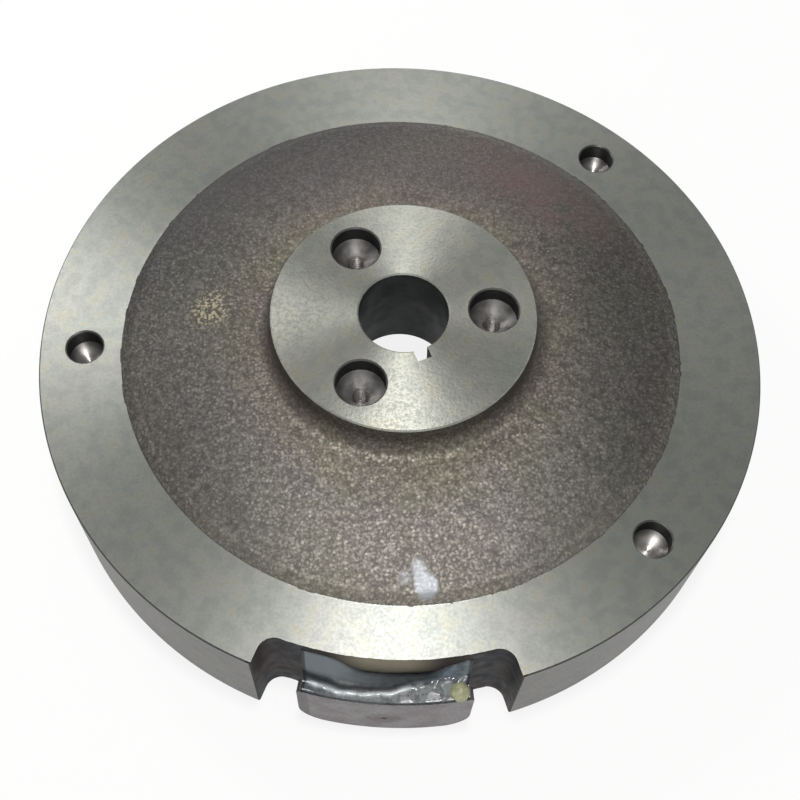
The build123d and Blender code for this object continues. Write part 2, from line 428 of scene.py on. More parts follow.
def new_material(name):
    """Empty material, its shader, and the place on a piece in the piece's own space."""
    material = bpy.data.materials.new(name)
    material.use_nodes = True
    place = add_node(material.node_tree, "ShaderNodeTexCoord").outputs["Object"]
    return material, material.node_tree.nodes["Principled BSDF"], place


def scaled(shade, factor):
    """Colour made darker or lighter."""
    return tuple(min(1.0, part * factor) for part in shade)


def toned(shade, *factors):
    """Colour with its red, green and blue each made darker or lighter."""
    return tuple(part * factor for part, factor in zip(shade, factors))


def bump(height, distance, strength=0.5):
    """Bump from a height between 0 and 1."""
    values = {"Height": height, "Distance": distance, "Strength": strength}
    return next_node("ShaderNodeBump", values).outputs["Normal"]


def round_the_axis(place):
    """Distance from the crank axis, and height."""
    return from_axis(place), parts_of(place)["Z"]


def lathe_lines(radius, height, pitch):
    """Grooves round the axis, at uneven spacing of about a pitch."""
    return noise_of(vector_of(radius, height), pitch, 3.0, 0.6)


def tool_marks(place, stretch):
    """Shader inputs for a gleam stretched across the marks that a tool leaves round the axis."""
    parts = parts_of(place)
    along = vector_maths("NORMALIZE", vector_of(times(parts["Y"], -1.0), parts["X"]))
    return {"Anisotropic": stretch, "Anisotropic Rotation": QUARTER_TURN, "Tangent": along}


def turned_finish(name, base, roughness, stretch, mottling):
    """Turned iron: bright where the light runs along the tool marks, with a mottled, faintly stained skin, a
    line of painted shade on the rim's top edge break and painted shade on its outer wall.
    """
    material, shader, place = new_material(name)
    radius, height = round_the_axis(place)
    lines = lathe_lines(radius, height, 0.35 * MM)
    bands = lathe_lines(radius, height, 1.8 * MM)
    stains = noise_of(place, 20 * MM, 3.0, 0.55)
    mottle = noise_of(place, 0.85 * MM, 3.0, 0.6)
    blotch = noise_of(place, 4.0 * MM, 3.0, 0.6)
    # Painted shade: a dark line on the break at the rim's top outer edge
    corner = times(
        spread(radius, RIM_R - RIM_BREAK, RIM_R - 0.85 * RIM_BREAK),
        spread(height, RIM_FACE - 1.15 * RIM_BREAK, RIM_FACE - RIM_BREAK, 0.0, 0.8),
    )
    # Painted shade: the rim's outer wall darker, with a faint violet tint
    side = times(
        spread(radius, RIM_R - 0.5 * RIM_BREAK, RIM_R - 0.1 * RIM_BREAK),
        spread(height, RIM_FACE - RIM_BREAK, RIM_FACE - 1.3 * RIM_BREAK),
    )
    green = toned(base, 0.95, 0.99, 0.975)
    shade = mix_colours(spread(stains, 0.34, 0.66), green, scaled(base, 1.04))
    skin = coats(
        shade,
        (spread(bands, 0.3, 0.7, 0.0, 0.5), scaled(base, 1.08)),
        (spread(blotch, 0.5, 0.72, 0.0, 0.6), toned(base, 1.04, 0.95, 0.80)),
        (spread(blotch, 0.60, 0.36, 0.0, 0.24), scaled(base, 0.5)),
        (spread(mottle, 0.62, 0.32, 0.0, 0.26 * mottling - 0.08), scaled(base, 0.5)),
        (corner, scaled(base, 0.15)),
        (side, (0.74, 0.71, 0.73), "MULTIPLY"),
    )
    change = 0.034 * mottling - 0.016
    relief = weighed(lines, 0.3, mottle, 0.7)
    fill(shader, tool_marks(place, stretch))
    fill(shader, {
        "Base Color": skin, "Metallic": 1.0,
        "Roughness": spread(mottle, 0.3, 0.7, roughness + change, roughness - change),
        "Normal": bump(relief, 0.013 * MM * mottling**2, 0.7),
    })
    return material


def drilled_finish(name, base):
    """Drilled iron: the drill leaves rings about its own axis, whose place each face carries; painted shade
    darkens each floor towards its wall and the walls near-black.
    """
    material, shader, place = new_material(name)
    in_hole = vector_maths("SUBTRACT", place, attribute_of(material.node_tree, "hole_centre", "Vector"))
    radius, height = round_the_axis(in_hole)
    rings = lathe_lines(radius, height, 0.3 * MM)
    grime = noise_of(place, 2.0 * MM, 3.0, 0.65)
    shade = mix_colours(spread(grime, 0.35, 0.65), scaled(base, 0.85), scaled(base, 1.4))
    facing = parts_of(add_node(material.node_tree, "ShaderNodeNewGeometry").outputs["Normal"])["Z"]
    upright = spread(maths("ABSOLUTE", facing), 0.2, 0.7, 0.75, 0.0)
    shaded_wall = times(upright, spread(radius, 3.2 * MM, 4.2 * MM))
    mouth = -SOCKET_DEPTH - 2.6 * MM
    tapped = times(
        spread(height, mouth + 0.1 * MM, mouth - 0.3 * MM),
        spread(height, mouth - CORE_DEPTH, mouth - 0.8 * CORE_DEPTH),
    )
    outer = spread(from_axis(place), 40 * MM, 60 * MM)
    hole_r = spread(outer, 0.0, 1.0, SOCKET_R, PEG_R)
    clean = maths("MAXIMUM", tapped, spread(outer, 0.0, 1.0, 0.22, 0.45))
    skin = coats(
        shade,
        (clean, FRESH_METAL),
        # Painted shade: each floor darker towards its hole's wall
        (spread(maths("DIVIDE", radius, hole_r), 0.5, 0.95, 0.0, 0.82), scaled(base, 0.25)),
        # Painted shade: the upright walls of the holes near-black
        (shaded_wall, HOLE_SHADE),
    )
    fill(shader, tool_marks(in_hole, spread(clean, 0.0, 0.45, 0.45, 0.88)))
    fill(shader, {
        "Base Color": skin, "Metallic": 0.95, "Roughness": spread(grime, 0.3, 0.7, 0.40, 0.52),
        "Normal": bump(rings, 0.03 * MM),
    })
    return material


def bore_finish(name):
    """Ground taper, painted near-black for the shade inside the bore, in patches of old oil."""
    material, shader, place = new_material(name)
    rings = lathe_lines(*round_the_axis(place), 0.5 * MM)
    oil = noise_of(place, 6.0 * MM, 3.0, 0.6)
    # Painted shade: the bore near-black, in patches of old and wet oil
    shade = mix_colours(spread(oil, 0.35, 0.7), BORE_SHADE_OLD_OIL, BORE_SHADE_WET_OIL)
    fill(shader, {
        "Base Color": shade, "Roughness": spread(oil, 0.3, 0.7, 0.5, 0.62),
        "Specular IOR Level": 0.17, "Normal": bump(rings, 0.02 * MM),
    })
    return material


def sand_grain(place):
    """Beads of moulding sand, the fine grit between them, the two together, and their clumps."""
    sand = next_node("ShaderNodeTexVoronoi", {"Vector": place, "Scale": 1 / MM}).outputs
    lot = next_node("ShaderNodeSeparateColor", {0: sand["Color"]}).outputs[0]
    bead = times(spread(sand["Distance"], 0.2, 0.75, 1.0, 0.0), spread(lot, 0.0, 1.0, 0.5, 1.0))
    fine = noise_of(place, 0.62 * MM, 2.0, 0.55)
    clump = noise_of(place, 1.7 * MM, 3.0, 0.6)
    return bead, fine, weighed(fine, 0.78, bead, 0.24), clump


def cast_finish(name, base, spark, rust):
    """Sand-cast iron of the web, with a rust bloom, painted light and shade across it, a painted highlight on
    the skirt at the ring, painted glints and a chalky smear.
    """
    material, shader, place = new_material(name)
    radius, height = round_the_axis(place)
    bead, fine, grain, clump = sand_grain(place)
    parts = parts_of(place)
    aside = maths("ABSOLUTE", parts["X"])

    # Brown-grey ground with fine lighter and darker grains
    cloud = spread(noise_of(place, 15 * MM, 3.0, 0.6), 0.38, 0.62)
    ground = mix_colours(cloud, toned(base, 1.01, 0.92, 0.98), toned(base, 1.11, 1.11, 0.86))
    both = weighed(grain, 0.7, clump, 0.3)
    specks = times(spread(bead, 0.72, 0.95, 0.0, 0.6), spread(fine, 0.45, 0.6))
    skin = coats(
        ground,
        (spread(clump, 0.60, 0.32, 0.0, 0.6), scaled(base, 0.5)),
        (spread(both, 0.36, 0.68), spark),
        (specks, scaled(spark, 1.5)),
    )

    # Painted shade at the left and right sides and at the upper left, painted light at the near and far
    # sides; lighter and warmer towards the hub, and faintly plum at the far side
    far = spread(parts["Y"], 20 * MM, 60 * MM)
    near = spread(parts["Y"], -35 * MM, -65 * MM)
    painted_light = maths("MAXIMUM", times(far, 0.45), times(near, 0.25))
    warm_painted_light = times(near, spread(aside, 12 * MM, 45 * MM, 1.0, 0.0))
    leftward = weighed(parts["X"], -0.64, parts["Y"], 0.77)
    skin = coats(
        skin,
        (spread(aside, 18 * MM, 66 * MM), (0.45, 0.44, 0.45), "MULTIPLY"),
        (painted_light, scaled(base, 1.36)),
        (far, (0.98, 0.93, 1.01), "MULTIPLY"),
        (warm_painted_light, (1.18, 1.145, 1.11), "MULTIPLY"),
        (spread(radius, 56 * MM, 42 * MM), (1.18, 1.13, 1.02), "MULTIPLY"),
        (spread(leftward, 38 * MM, 72 * MM), (0.62, 0.63, 0.66), "MULTIPLY"),
    )

    # Painted light on the skirt at the ring, stronger on the near side, a line of painted shade at its foot,
    # and the shaded corner under the hub
    above = spread(height, RIM_FACE - 1 * MM, RIM_FACE)
    skirt = times(
        spread(radius, SEAT_SLOPE_R - 1.4 * MM, SEAT_SLOPE_R + 0.2 * MM),
        spread(parts["Y"], 10 * MM, -35 * MM, 0.2, 0.65),
    )
    corner = times(
        spread(radius, HUB_R + 0.5 * MM, HUB_R + 5.5 * MM, 0.75, 0.0),
        spread(parts["Y"], -22 * MM, -36 * MM, 1.0, 0.4),
    )
    skin = coats(
        skin,
        (times(skirt, above), (2.0, 2.0, 1.95), "MULTIPLY"),
        (times(spread(height, RIM_FACE, RIM_FACE + 0.35 * MM, 0.4, 0.0), above), scaled(base, 0.3)),
        (corner, toned(base, 0.40, 0.30, 0.28)),
    )

    for *oval, strength in RUST_PATCHES:
        broken = spread(noise_of(place, 12 * MM, 3.0), 0.28, 0.5)
        bloom = times(patch(place, *oval), strength)
        skin = mix_colours(times(bloom, broken), skin, rust)
    for *oval, strength in CHALK_PATCHES:
        chalk = spread(times(patch(place, *oval), strength), 0.05, 0.75)
        broken = spread(clump, 0.3, 0.6, 0.7, 1.0)
        skin = mix_colours(times(chalk, broken), skin, CHALK)
    # Painted highlight: yellowish glints on the bright grains of a patch of the web
    glint = patch(place, GLINT_CENTRE, 9 * MM, 7 * MM, 60.0)
    glint = times(glint, spread(grain, 0.42, 0.60, 0.0, 0.8))
    skin = mix_colours(glint, skin, GLINT)

    fill(shader, {
        "Base Color": skin, "Metallic": 0.45, "Roughness": spread(grain, 0.3, 0.7, 0.60, 0.48),
        "Specular IOR Level": 0.8, "Normal": bump(weighed(grain, 0.8, clump, 0.5), 0.08 * MM, 0.6),
    })
    return material


def scale_finish(name, base):
    """Dark casting scale of the notch, with painted shade under the ring's edge and painted light, a paler
    olive, on the back wall above the magnet.
    """
    material, shader, place = new_material(name)
    height = parts_of(place)["Z"]
    clump = noise_of(place, 3.5 * MM, 3.0, 0.55)
    middle = patch(place, PAINTED_LIGHT_CENTRE, 16 * MM, 8 * MM, MAGNET_ANGLE + 90)
    skin = coats(
        mix_colours(spread(clump, 0.35, 0.65), base, toned(base, 1.5, 1.25, 1.2)),
        (spread(noise_of(place, 11 * MM, 2.0), 0.46, 0.6, 0.0, 0.8), BLUED_SCALE),
        # Painted shade under the ring's edge, at the top of the notch walls
        (spread(height, RIM_FACE - 2.5 * MM, RIM_FACE - 0.4 * MM, 0.0, 0.6), scaled(base, 0.35)),
        # Painted light: the back wall above the magnet a paler olive
        (times(middle, spread(height, 22 * MM, 25 * MM, 0.0, 0.95)), PAINTED_LIGHT_SCALE),
    )
    fill(shader, {
        "Base Color": skin, "Roughness": spread(clump, 0.3, 0.7, 0.55, 0.72),
        "Specular IOR Level": 0.25, "Normal": bump(clump, 0.1 * MM),
    })
    return material


def shoe_finish(name, base):
    """Turned steel of the pole shoe: tarnished, darker at one end and rusty round the screw."""
    material, shader, place = new_material(name)
    lines = lathe_lines(*round_the_axis(place), 0.4 * MM)
    tarnish = noise_of(place, 7 * MM, 4.0, 0.6)
    pores = noise_of(place, 0.8 * MM, 2.0)
    across = vector_maths("SUBTRACT", place, tuple(polar(RIM_R, MAGNET_ANGLE, SCREW_HEIGHT)))
    stretched = vector_maths("MULTIPLY", across, (1 / 6.5 / MM, 1 / 9.0 / MM, 1 / 2.2 / MM))
    stain = times(
        spread(vector_length(stretched), 1.0, 0.35, 0.0, 0.6),
        spread(noise_of(place, 2.4 * MM, 3.0), 0.35, 0.6, 0.4, 1.0),
    )
    sideways = next_node("ShaderNodeVectorRotate", {
        "Vector": place, "Angle": math.radians(-90 - MAGNET_ANGLE),
    }, rotation_type="Z_AXIS").outputs[0]
    skin = coats(
        mix_colours(spread(tarnish, 0.36, 0.64), toned(base, 0.80, 0.73, 0.76), base),
        (stain, SCREW_RUST),
        (spread(parts_of(sideways)["X"], -19.2 * MM, -19.9 * MM, 0.0, 0.5), scaled(base, 0.3)),
    )
    fill(shader, tool_marks(place, 0.6))
    fill(shader, {
        "Base Color": skin, "Metallic": 0.9, "Roughness": spread(pores, 0.3, 0.7, 0.38, 0.5),
        "Normal": bump(lines, 0.03 * MM),
    })
    return material


def compound_finish(name, base, dust):
    """Glossy potting compound: dusty silver towards one end, blue-grey flecks at the back, painted shade at
    the ends, along the lip and in the valley, painted light on the ledge and a painted highlight along the
    crest.
    """
    material, shader, place = new_material(name)
    radius = from_axis(place)
    share, valley, crest = (attribute_of(material.node_tree, mark) for mark in ("share", "valley", "crest"))
    flecks = noise_of(place, 1.1 * MM, 4.0, 0.7)
    streaks = noise_of(place, 2.6 * MM, 3.0, 0.6)
    mixed = weighed(flecks, 0.6, streaks, 0.4)
    # Painted light on the sloping ledge at the back of the left part
    ledge = times(spread(radius, *COMPOUND_LEDGE), spread(share, 0.1, -0.35))

    # Dust on the front of the top, and flecks of it at the back
    front = spread(radius, *COMPOUND_FRONT)
    sheet = times(spread(share, -0.15, 0.35, 0.12, 1.0), front)
    corner = times(spread(share, 0.5, 0.75), maths("SUBTRACT", 1.0, front))
    settled = maths("ADD", sheet, times(corner, 0.8))
    dusty = maths("MULTIPLY", settled, spread(mixed, 0.40, 0.58), clamp=True)
    silver = mix_colours(front, toned(dust, 0.50, 0.62, 0.78), dust)

    # The strip beside the shoe, and painted shade round the ends and along the lip's joint with the shoe
    strip = times(spread(radius, *COMPOUND_STRIP), spread(share, -0.9, -0.45, 0.0, 0.9))
    ends = spread(maths("ABSOLUTE", share), 0.945, 0.975, 0.0, 0.95)
    lip = spread(radius, POTTING_LIP_R - 0.55 * MM, POTTING_LIP_R - 0.25 * MM, 0.0, 0.8)
    skin = coats(
        mix_colours(spread(streaks, 0.35, 0.65), scaled(base, 0.75), base),
        (ledge, scaled(base, 1.55)),
        (dusty, silver),
        (times(strip, spread(mixed, 0.38, 0.58, 0.35, 1.0)), scaled(dust, 0.85)),
        (maths("MAXIMUM", ends, lip), scaled(base, 0.2)),
        # Painted shade in the valley behind the crest
        (times(valley, 0.85), scaled(base, 0.22)),
        # Painted highlight along the crest
        (times(crest, spread(streaks, 0.3, 0.55, 0.35, 0.85)), PAINTED_CREST_HIGHLIGHT),
    )
    gloss = maths("ADD", spread(streaks, 0.3, 0.7, 0.17, 0.24), times(dusty, 0.14))
    fill(shader, {
        "Base Color": skin, "Roughness": maths("ADD", gloss, times(valley, 0.4)), "IOR": 1.52,
        "Specular IOR Level": spread(valley, 0.1, 0.7, 0.5, 0.08),
        "Normal": bump(noise_of(place, 0.7 * MM, 2.0), 0.05 * MM),
    })
    return material


def bead_finish(name, base):
    """Cream compound bead with a satin skin."""
    material, shader, place = new_material(name)
    mottle = noise_of(place, 1.3 * MM, 3.0)
    fill(shader, {
        "Base Color": mix_colours(spread(mottle, 0.35, 0.65), scaled(base, 0.72), base),
        "Roughness": spread(mottle, 0.3, 0.7, 0.35, 0.5),
        "Subsurface Weight": 0.15, "Subsurface Scale": 0.8 * MM, "Normal": bump(mottle, 0.08 * MM),
    })
    return material


def ferrite_finish(name, base):
    """Ground ceramic magnet."""
    material, shader, place = new_material(name)
    grain = noise_of(place, 0.5 * MM, 3.0)
    fill(shader, {
        "Base Color": mix_colours(spread(grain, 0.3, 0.7), scaled(base, 0.6), base),
        "Roughness": spread(grain, 0.3, 0.7, 0.45, 0.6), "Normal": bump(grain, 0.03 * MM),
    })
    return material


# Meshes


def new_object(name, data):
    """Object at the origin that shows some data."""
    item = bpy.data.objects.new(name, data)
    bpy.context.scene.collection.objects.link(item)
    return item


def new_piece(name, bm):
    """Object at the origin from a bmesh, with outward faces and sharp edges kept."""
    bmesh.ops.remove_doubles(bm, verts=bm.verts, dist=MERGE_DISTANCE)
    bmesh.ops.recalc_face_normals(bm, faces=bm.faces)
    piece = new_object(name, bpy.data.meshes.new(name))
    bm.to_mesh(piece.data)
    bm.free()
    shade_by_angle(piece.data)
    return piece


def shade_by_angle(mesh):
    """Smooth shading, broken at sharp edges."""
    bm = bmesh.new()
    bm.from_mesh(mesh)
    limit = math.radians(SHARP_ANGLE)
    for face in bm.faces:
        face.smooth = True
    for edge in bm.edges:
        edge.smooth = len(edge.link_faces) != 2 or edge.calc_face_angle(0.0) < limit
    bm.to_mesh(mesh)
    bm.free()


def polar(radius, angle, height):
    """Point from a radius, an angle in degrees and a height."""
    turn = math.radians(angle)
    return Vector((radius * math.cos(turn), radius * math.sin(turn), height))


def ease(low, high, value):
    """Smooth step from 0 at low to 1 at high."""
    share = min(1.0, max(0.0, (value - low) / (high - low)))
    return share * share * (3 - 2 * share)


def hump(value, width):
    """Bell curve that is 1 at 0 and falls off over about a width on each side."""
    return math.exp(-((value / width) ** 2))


def steps_between(start, end, step):
    """Points from start up to, but not including, end, about a step apart."""
    count = max(1, round(math.dist(start, end) / step))
    return [tuple(a + (b - a) * index / count for a, b in zip(start, end)) for index in range(count)]


def cove_points(before, corner, after, reach, count):
    """Points of a curve that rounds a corner, starting a reach away from it on each side."""
    middle = Vector(corner)
    start = middle + (Vector(before) - middle).normalized() * reach
    end = middle + (Vector(after) - middle).normalized() * reach
    return [
        tuple(start * (1 - share) ** 2 + middle * 2 * share * (1 - share) + end * share**2)
        for share in (index / count for index in range(count + 1))
    ]


def turned_mesh(name, outline, segments):
    """Closed solid of revolution about Z from (radius, height) points, with its ends on the axis."""
    bm = bmesh.new()
    rings = []
    for radius, height in outline:
        ring = []
        for index in range(segments if radius > 0 else 1):
            angle = 2 * math.pi * index / segments
            ring.append(bm.verts.new((radius * math.cos(angle), radius * math.sin(angle), height)))
        rings.append(ring)
    for lower, upper in zip(rings, rings[1:]):
        for index in range(segments):
            after = (index + 1) % segments
            corners = [
                lower[index % len(lower)], lower[after % len(lower)],
                upper[after % len(upper)], upper[index % len(upper)],
            ]
            bm.faces.new(list(dict.fromkeys(corners)))
    return new_piece(name, bm)


def shell_from_grids(name, front, back):
    """Closed mesh from two grids of points, joined round their borders."""
    bm = bmesh.new()
    rows, columns = len(front), len(front[0])
    grids = [[[bm.verts.new(point) for point in row] for row in grid] for grid in (front, back)]
    for grid in grids:
        for low, high in zip(grid, grid[1:]):
            for column in range(columns - 1):
                bm.faces.new((low[column], low[column + 1], high[column + 1], high[column]))
    border = [(0, column) for column in range(columns)]
    border += [(row, columns - 1) for row in range(1, rows)]
    border += [(rows - 1, column) for column in range(columns - 2, -1, -1)]
    border += [(row, 0) for row in range(rows - 2, 0, -1)]
    front, back = ([grid[row][column] for row, column in border] for grid in grids)
    for index in range(len(border)):
        after = (index + 1) % len(border)
        bm.faces.new((front[index], front[after], back[after], back[index]))
    return new_piece(name, bm)


# Geometry nodes


def new_tree(name, inputs):
    """Geometry node tree with named inputs, what they give, and its output node."""
    tree = bpy.data.node_groups.new(name, "GeometryNodeTree")
    for label, kind in {"Geometry": "Geometry", **inputs}.items():
        tree.interface.new_socket(label, in_out="INPUT", socket_type="NodeSocket" + kind)
    tree.interface.new_socket("Geometry", in_out="OUTPUT", socket_type="NodeSocketGeometry")
    return tree, add_node(tree, "NodeGroupInput").outputs, add_node(tree, "NodeGroupOutput")


def finish_tree(geometry, material, result):
    """Ends a tree in real geometry with its material set."""
    real = next_node("GeometryNodeRealizeInstances", {"Geometry": geometry}).outputs[0]
    painted = next_node("GeometryNodeSetMaterial", {"Geometry": real, "Material": material}).outputs[0]
    fill(result, {"Geometry": painted})


def turning_tree():
    """Turns an outline about the crank axis and roughens its cast stretches."""
    tree, given, result = new_tree("turned_casting", {
        "Segments": "Int", "Rim Radius": "Float", "Seat Height": "Float", "Grain Height": "Float",
        "Grain Size": "Float", "Swell Height": "Float", "Swell Size": "Float", "Material": "Material",
    })
    outline = next_node("GeometryNodeMeshToCurve", {"Mesh": given["Geometry"]}).outputs["Curve"]
    circle = next_node("GeometryNodeCurvePrimitiveCircle", {
        "Resolution": given["Segments"], "Radius": given["Rim Radius"],
    }, mode="RADIUS").outputs["Curve"]
    turned = next_node("GeometryNodeCurveToMesh", {"Curve": circle, "Profile Curve": outline}).outputs["Mesh"]
    place = add_node(tree, "GeometryNodeInputPosition").outputs[0]
    normal = add_node(tree, "GeometryNodeInputNormal").outputs[0]
    rough = add_node(tree, "GeometryNodeInputNamedAttribute", {"Name": "rough"}, data_type="FLOAT").outputs[0]

    reliefs = []
    for kind, detail, seed in (("Grain", 2.0, 3.7), ("Swell", 1.0, 11.3)):
        pattern = next_node("ShaderNodeTexNoise", {
            "Vector": place, "W": seed, "Detail": detail,
            "Scale": maths("DIVIDE", 1.0, given[kind + " Size"]),
        }, noise_dimensions="4D").outputs["Fac"]
        centred = maths("SUBTRACT", times(pattern, 2.0), 1.0)
        reliefs.append(times(centred, given[kind + " Height"]))
    depth = times(times(maths("ADD", *reliefs), rough), 2.0)
    offset = next_node("ShaderNodeVectorMath", {0: normal, "Scale": depth}, operation="SCALE").outputs[0]
    roughened = next_node("GeometryNodeSetPosition", {"Geometry": turned, "Offset": offset}).outputs[0]

    # Facing: what lies below the seat at its inner edge is brought up level with it
    parts = parts_of(place)
    faced = vector_of(parts["X"], parts["Y"], maths("MAXIMUM", parts["Z"], given["Seat Height"]))
    lowest = maths("SUBTRACT", given["Seat Height"], FACING_ABOVE)
    near_seat = maths("GREATER_THAN", parts["Z"], lowest)
    inside_rim = maths("LESS_THAN", from_axis(place), SEAT_INNER_R + FACING_REACH)
    seated = next_node("GeometryNodeSetPosition", {
        "Geometry": roughened, "Selection": times(near_seat, inside_rim), "Position": faced,
    }).outputs[0]
    finish_tree(seated, given["Material"], result)
    return tree


def drilling_tree():
    """Cuts a drill's shape out of a solid at each of a set of places."""
    tree, given, result = new_tree("drilled_pattern", {
        "Places": "Object", "Drill": "Object", "Material": "Material",
    })
    places, drill = (
        next_node("GeometryNodeObjectInfo", {"Object": given[name]}).outputs["Geometry"]
        for name in ("Places", "Drill")
    )
    drills = next_node("GeometryNodeInstanceOnPoints", {"Points": places, "Instance": drill}).outputs[0]
    real = next_node("GeometryNodeRealizeInstances", {"Geometry": drills}).outputs[0]
    cut = next_node("GeometryNodeMeshBoolean", {
        "Mesh 1": given["Geometry"], "Mesh 2": real,
    }, operation="DIFFERENCE", solver="MANIFOLD").outputs["Mesh"]
    finish_tree(cut, given["Material"], result)
    return tree


def add_modifier(piece, tree, **inputs):
    """Adds a geometry nodes modifier, with its inputs set by their sockets' identifiers."""
    modifier = piece.modifiers.new(tree.name, "NODES")
    modifier.node_group = tree
    identifiers = {item.name: item.identifier for item in tree.interface.items_tree if item.in_out == "INPUT"}
    for name, value in inputs.items():
        modifier[identifiers[name.replace("_", " ")]] = value


def made_real(piece, name, helpers):
    """The piece's finished form as a plain mesh, with the piece, its modifiers and its helpers removed."""
    bpy.context.view_layer.update()
    depsgraph = bpy.context.evaluated_depsgraph_get()
    real = new_object(name, bpy.data.meshes.new_from_object(piece.evaluated_get(depsgraph)))
    real.data.name = name
    piece.modifiers.clear()
    for item in (piece, *helpers):
        mesh = item.data
        bpy.data.objects.remove(item)
        bpy.data.meshes.remove(mesh)
    return real


def places_object(name, places):
    """Loose points where holes go."""
    mesh = bpy.data.meshes.new(name)
    mesh.from_pydata([tuple(place) for place in places], [], [])
    return new_object(name, mesh)


# The casting: its outline is turned, roughened and drilled by geometry nodes


def casting_outline():
    """(radius, height, how rough) points of half the casting's section, going round it once."""
    web_edge = (SEAT_SLOPE_R, RIM_FACE + SEAT_SLOPE_RISE)
    hub_root = (HUB_ROOT_R, RIM_FACE + HUB_ROOT_RISE)
    hub_top = (HUB_R, HUB_FACE - HUB_TURNED_EDGE)
    boss_root = (BOSS_ROOT_R, hub_root[1] - WEB_THICKNESS)
    bell_root = (BELL_ROOT_R, web_edge[1] - WEB_THICKNESS)
    boss_end = (BOSS_R, HUB_END + FINE_BREAK)
    bell_end = (BELL_MOUTH_R, FINE_BREAK)
    bore_end_r = BORE_R + (HUB_FACE - HUB_END) * BORE_TAPER
    boss_curve = cove_points(boss_end, boss_root, bell_root, reach=BOSS_COVE, count=6)
    bell_curve = cove_points(boss_root, bell_root, bell_end, reach=BELL_COVE, count=8)
    hub_curve = cove_points(web_edge, hub_root, hub_top, reach=HUB_COVE, count=10)
    points = []

    def run(*places, rough=0.0):
        points.extend((radius, height, rough) for radius, height in places)

    # The bore, the boss and the bell
    run((BORE_R + FINE_BREAK, HUB_FACE), (BORE_R, HUB_FACE - FINE_BREAK))
    run((bore_end_r, HUB_END + FINE_BREAK), (bore_end_r + FINE_BREAK, HUB_END))
    run((BOSS_R - FINE_BREAK, HUB_END))
    run(*steps_between(boss_end, boss_curve[0], UNDER_STEP), *boss_curve[:-1], rough=1.0)
    run(*steps_between(boss_curve[-1], bell_curve[0], UNDER_STEP), *bell_curve[:-1], rough=1.0)
    run(*steps_between(bell_curve[-1], bell_end, UNDER_STEP), rough=1.0)

    # The rim
    run(bell_end, (BELL_MOUTH_R + FINE_BREAK, 0.0), (RIM_R - RIM_BREAK, 0.0), (RIM_R, RIM_BREAK))
    run((RIM_R, RIM_FACE - RIM_BREAK), (RIM_R - RIM_BREAK, RIM_FACE), (SEAT_INNER_R + FACING_START, RIM_FACE))
    facing_end = (SEAT_INNER_R + FACING_END, RIM_FACE - FACING_DEPTH)
    run(*steps_between(facing_end, web_edge, SKIRT_STEP), rough=0.3)

    # The web, with its crown, and the hub
    span = web_edge[0] - hub_curve[0][0]
    for radius, height in steps_between(web_edge, hub_curve[0], WEB_STEP):
        share = (web_edge[0] - radius) / span
        crown = WEB_CROWN * 4 * share * (1 - share)
        run((radius, height + crown), rough=min(1.0, 0.45 + 6 * share))
    run(*hub_curve[:-1], rough=1.0)
    run(*steps_between(hub_curve[-1], hub_top, WEB_STEP), rough=0.5)
    run(hub_top, (HUB_R, HUB_FACE - FINE_BREAK), (HUB_R - FINE_BREAK, HUB_FACE))
    return points


def outline_object(points):
    """Loop of edges for the turning tree: radius from the rim as x, height downwards as y."""
    mesh = bpy.data.meshes.new("casting_outline")
    edges = [(index, (index + 1) % len(points)) for index in range(len(points))]
    mesh.from_pydata([(radius - RIM_R, -height, 0.0) for radius, height, rough in points], edges, [])
    rough = mesh.attributes.new("rough", "FLOAT", "POINT")
    rough.data.foreach_set("value", [point[2] for point in points])
    return new_object("casting_outline", mesh)


def drill_outline(radius, depth, edge_break):
    """(radius, height) points of a drill that starts above height 0, down to its point."""
    return [
        (0.0, CUT_MARGIN),
        (radius + edge_break + CUT_MARGIN, CUT_MARGIN),
        (radius, -edge_break),
        (radius, -depth),
        (0.0, -depth - radius * POINT_SLOPE),
    ]


def socket_drill():
    """Drill for a hub socket, with a tap in the middle of its coned floor."""
    floor = -SOCKET_DEPTH
    mouth = floor - (SOCKET_R - CORE_R) * POINT_SLOPE
    core_end = floor - CORE_DEPTH
    drill = turned_mesh("socket_drill", [
        (0.0, CUT_MARGIN),
        (SOCKET_R + FINE_BREAK + CUT_MARGIN, CUT_MARGIN),
        (SOCKET_R, -FINE_BREAK),
        (SOCKET_R, floor + SOCKET_FOOT_RISE),
        (SOCKET_R - SOCKET_FOOT_INSET, floor),
        (CORE_R + CORE_LEAD, mouth),
        *steps_between((CORE_R, mouth - CORE_LEAD), (CORE_R, mouth - THREAD_LENGTH), THREAD_PITCH / 8),
        (CORE_R, core_end),
        (0.0, core_end - CORE_R * POINT_SLOPE),
    ], DRILL_FACETS)
    for vertex in drill.data.vertices:
        radius = math.hypot(vertex.co.x, vertex.co.y)
        depth = mouth - vertex.co.z
        if abs(radius - CORE_R) < TOUCH and depth > 0:
            turns = math.atan2(vertex.co.y, vertex.co.x) / (2 * math.pi) - vertex.co.z / THREAD_PITCH
            flank = 2 * abs(turns % 1 - 0.5)
            runout = 1 - ease(THREAD_LENGTH - 2 * THREAD_PITCH, THREAD_LENGTH, depth)
            grown = 1 + THREAD_DEPTH * flank * (ease(0, THREAD_PITCH, depth) * runout) / CORE_R
            vertex.co.x *= grown
            vertex.co.y *= grown
    return drill


